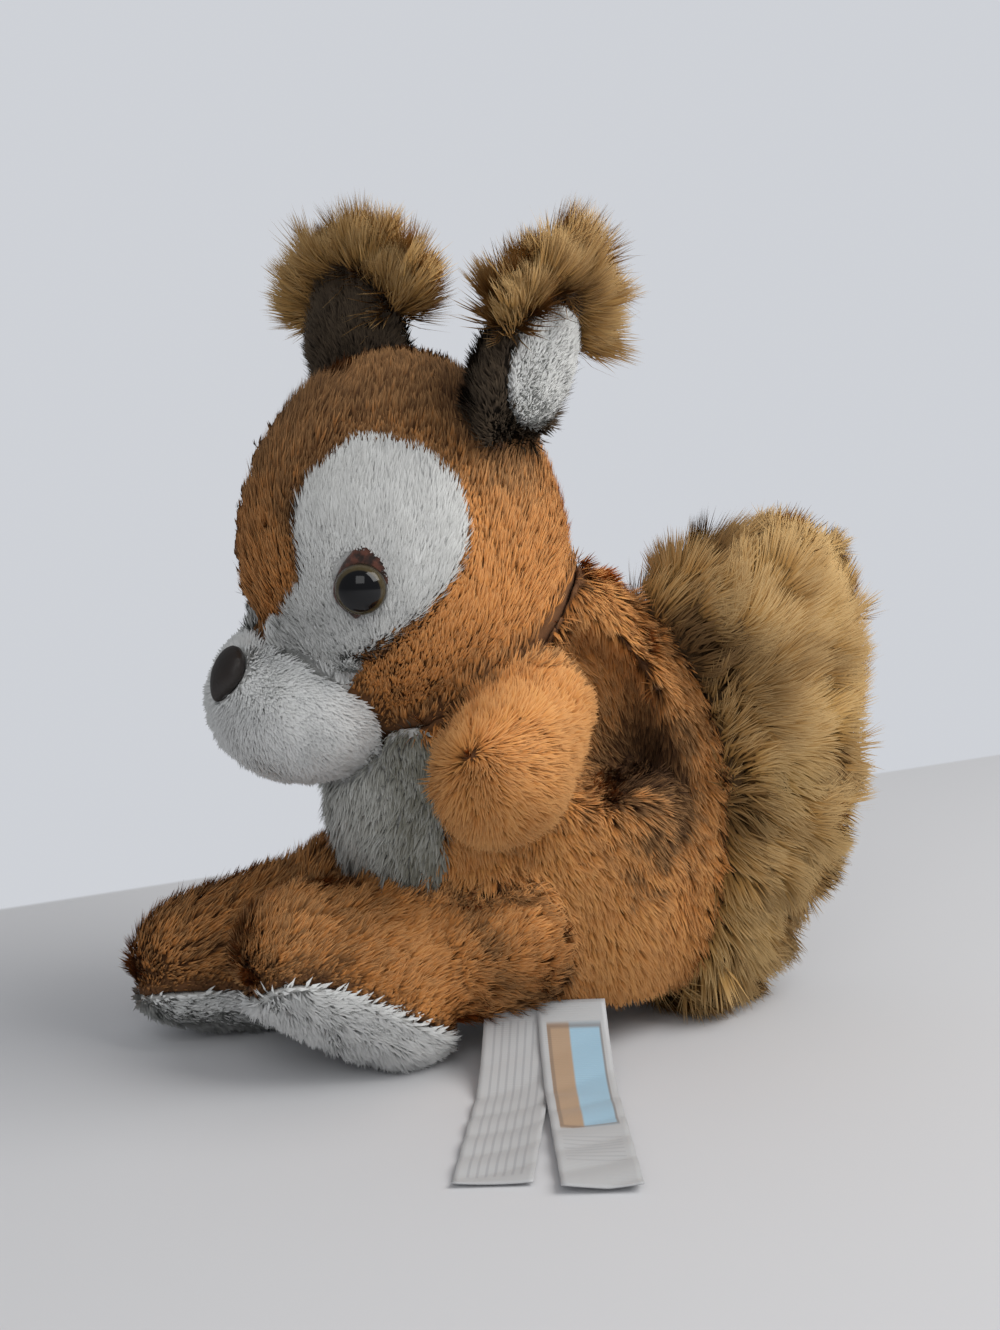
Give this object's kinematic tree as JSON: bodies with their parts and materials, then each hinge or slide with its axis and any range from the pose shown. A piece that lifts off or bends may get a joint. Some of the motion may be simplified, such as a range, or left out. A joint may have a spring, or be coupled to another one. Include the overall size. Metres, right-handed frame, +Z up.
{
  "type": "plush squirrel hand puppet",
  "caption": "Seated plush squirrel hand puppet with white eye patches, muzzle, bib and soles, plastic eyes and nose, a bushy tail and a hand pocket open underneath.",
  "frame": {"origin": "middle of the footprint of the whole part, labels included, on the surface it sits on", "axes": "+Z up; the squirrel faces -Y; its left side and the labels are towards +X"},
  "size_m": [0.2356, 0.2836, 0.2926],
  "materials": {
    "brown_plush": "orange-brown long-pile plush",
    "white_plush": "white short-pile plush",
    "tail_plush": "long shaggy tan pile with dark roots",
    "dark_plush": "dark brown plush",
    "eye_plastic": "clear dome over a black pupil and a brown iris",
    "nose_plastic": "satin moulded plastic",
    "washer_plastic": "plain moulded plastic",
    "lining_cloth": "plain woven lining",
    "label_satin": "white satin ribbon"
  },
  "bodies": {
    "root": {"head": "brown_plush", "body": "brown_plush", "arm_left": "brown_plush", "arm_right": "brown_plush", "leg_left": "brown_plush", "leg_right": "brown_plush", "muzzle": "white_plush", "eye_patch_left": "white_plush", "eye_patch_right": "white_plush", "ear_lining_left": "white_plush", "ear_lining_right": "white_plush", "chest_panel": "white_plush", "sole_left": "white_plush", "sole_right": "white_plush", "tail": "tail_plush", "ear_tuft_left": "tail_plush", "ear_tuft_right": "tail_plush", "ear_left": "dark_plush", "ear_right": "dark_plush", "eye_left": "eye_plastic", "eye_right": "eye_plastic", "nose": "nose_plastic", "eye_washer_left": "washer_plastic", "eye_washer_right": "washer_plastic", "nose_washer": "washer_plastic", "pocket_lining": "lining_cloth", "care_label": "label_satin", "name_label": "label_satin"}
  },
  "joints": []
}
